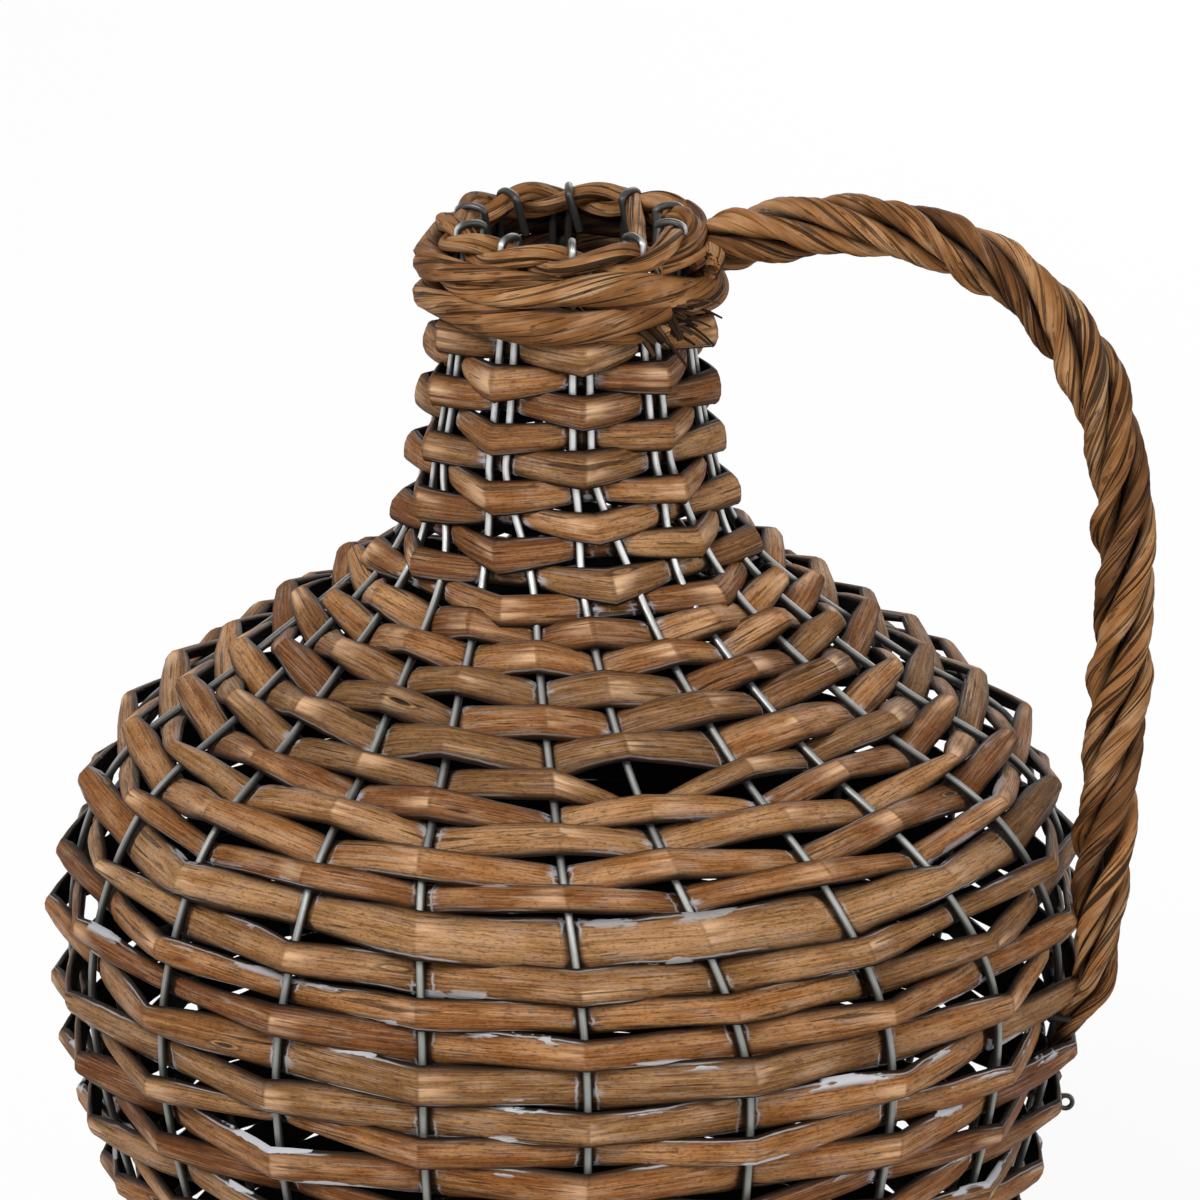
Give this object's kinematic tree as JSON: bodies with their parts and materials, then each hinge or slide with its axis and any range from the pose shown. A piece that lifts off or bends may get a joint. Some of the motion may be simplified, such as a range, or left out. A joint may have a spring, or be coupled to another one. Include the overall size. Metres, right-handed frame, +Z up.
{
  "type": "wicker jug vase",
  "caption": "Big-bellied wicker jug vase of split willow woven on twisted wire stakes, with a narrow wrapped neck, a twined rim and a twisted willow handle.",
  "frame": {"origin": "middle of the base board's underside, on the jug's axis", "axes": "+Z up along the jug's axis, -Y the front, +X towards the handle"},
  "size_m": [0.3724, 0.3536, 0.4683],
  "materials": {
    "split_willow": "brown split willow, half round, with pale residue along its edges and dark cracks",
    "rim_willow": "twisted brown willow rods with fibrous splits",
    "handle_willow": "rope-twisted brown willow rods with fibrous splits",
    "galvanised_wire": "dull galvanised wire",
    "board_ply": "plain plywood"
  },
  "bodies": {
    "root": {"body_weft_1": "split_willow", "body_weft_2": "split_willow", "body_weft_3": "split_willow", "body_weft_4": "split_willow", "body_weft_5": "split_willow", "body_weft_6": "split_willow", "body_weft_7": "split_willow", "body_weft_8": "split_willow", "body_weft_9": "split_willow", "body_weft_10": "split_willow", "body_weft_11": "split_willow", "body_weft_12": "split_willow", "body_weft_13": "split_willow", "body_weft_14": "split_willow", "body_weft_15": "split_willow", "body_weft_16": "split_willow", "body_weft_17": "split_willow", "body_weft_18": "split_willow", "body_weft_19": "split_willow", "body_weft_20": "split_willow", "body_weft_21": "split_willow", "body_weft_22": "split_willow", "body_weft_23": "split_willow", "body_weft_24": "split_willow", "body_weft_25": "split_willow", "body_weft_26": "split_willow", "body_weft_27": "split_willow", "body_weft_28": "split_willow", "body_weft_29": "split_willow", "body_weft_30": "split_willow", "body_weft_31": "split_willow", "body_weft_32": "split_willow", "body_weft_33": "split_willow", "neck_weft_1": "split_willow", "neck_weft_2": "split_willow", "rim_twine_1": "rim_willow", "rim_twine_2": "rim_willow", "neck_wrap": "rim_willow", "handle_strand_1": "handle_willow", "handle_strand_2": "handle_willow", "handle_strand_3": "handle_willow", "handle_strand_4": "handle_willow", "stake_1": "galvanised_wire", "stake_2": "galvanised_wire", "stake_3": "galvanised_wire", "stake_4": "galvanised_wire", "stake_5": "galvanised_wire", "stake_6": "galvanised_wire", "stake_7": "galvanised_wire", "stake_8": "galvanised_wire", "stake_9": "galvanised_wire", "stake_10": "galvanised_wire", "handle_core": "galvanised_wire", "base_board": "board_ply"}
  },
  "joints": []
}
